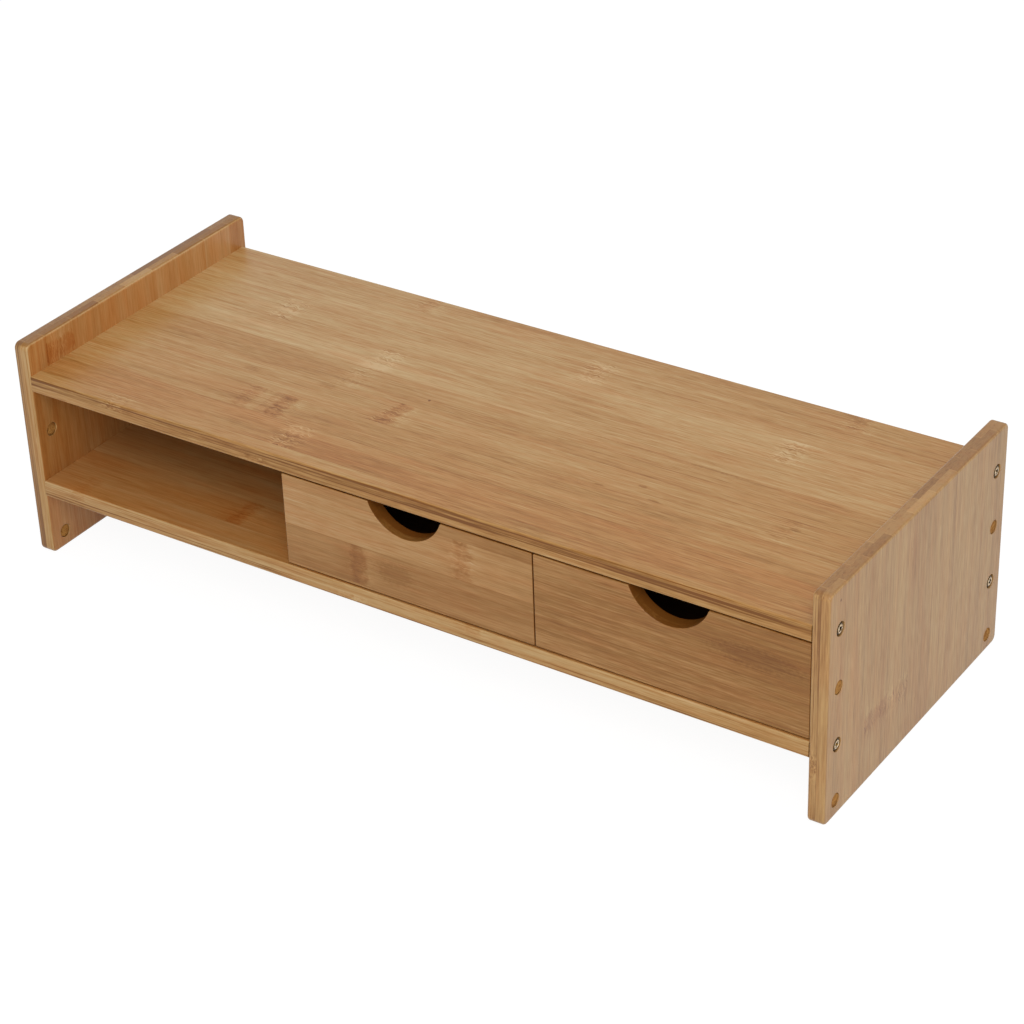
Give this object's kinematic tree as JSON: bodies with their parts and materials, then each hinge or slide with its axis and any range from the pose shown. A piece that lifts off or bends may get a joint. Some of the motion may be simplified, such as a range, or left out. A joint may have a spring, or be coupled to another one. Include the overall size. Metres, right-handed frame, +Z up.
{
  "type": "laptop stand with drawers",
  "caption": "Long bamboo desk stand: side panels carry a top board and a shelf, with an open bay and pull-out drawers between them and room for a keyboard below.",
  "frame": {"origin": "on the table, under the middle of the stand", "axes": "+X to the right along the boards, +Y to the back, +Z up; the drawers face -Y"},
  "size_m": [0.53, 0.202, 0.14],
  "materials": {
    "panel_bamboo": "laminated bamboo with upright grain, sanded, thin satin varnish",
    "top_bamboo": "laminated bamboo with grain along the stand, satin varnish",
    "shelf_bamboo": "laminated bamboo, satin varnish",
    "front_bamboo": "laminated bamboo in two tones, satin varnish",
    "inner_bamboo": "thin laminated bamboo, light varnish",
    "bottom_ply": "thin plywood, light varnish",
    "plug_wood": "end-grain wooden plug, varnished",
    "dowel_wood": "plain beech dowel",
    "plated_screw": "nickel-plated steel, slightly warm"
  },
  "bodies": {
    "frame": {"left_side_panel": "panel_bamboo", "right_side_panel": "panel_bamboo", "top_board": "top_bamboo", "shelf_board": "shelf_bamboo", "back_panel": "inner_bamboo", "left_divider": "inner_bamboo", "middle_divider": "inner_bamboo", "divider_dowels": "dowel_wood", "divider_screws": "plated_screw", "left_panel_screws": "plated_screw", "right_panel_screws": "plated_screw", "left_hole_plugs": "plug_wood", "right_hole_plugs": "plug_wood"},
    "drawer_1": {"drawer_1_front": "front_bamboo", "drawer_1_left_side": "inner_bamboo", "drawer_1_right_side": "inner_bamboo", "drawer_1_back": "inner_bamboo", "drawer_1_bottom": "bottom_ply", "drawer_1_dowels": "dowel_wood", "drawer_1_back_screws": "plated_screw"},
    "drawer_2": {"drawer_2_front": "front_bamboo", "drawer_2_left_side": "inner_bamboo", "drawer_2_right_side": "inner_bamboo", "drawer_2_back": "inner_bamboo", "drawer_2_bottom": "bottom_ply", "drawer_2_dowels": "dowel_wood", "drawer_2_back_screws": "plated_screw"}
  },
  "joints": [
    {"name": "drawer_1_slide", "type": "slide", "parent": "frame", "child": "drawer_1", "axis": [0, -1, 0], "range_m": [0, 0.15]},
    {"name": "drawer_2_slide", "type": "slide", "parent": "frame", "child": "drawer_2", "axis": [0, -1, 0], "range_m": [0, 0.15]}
  ]
}
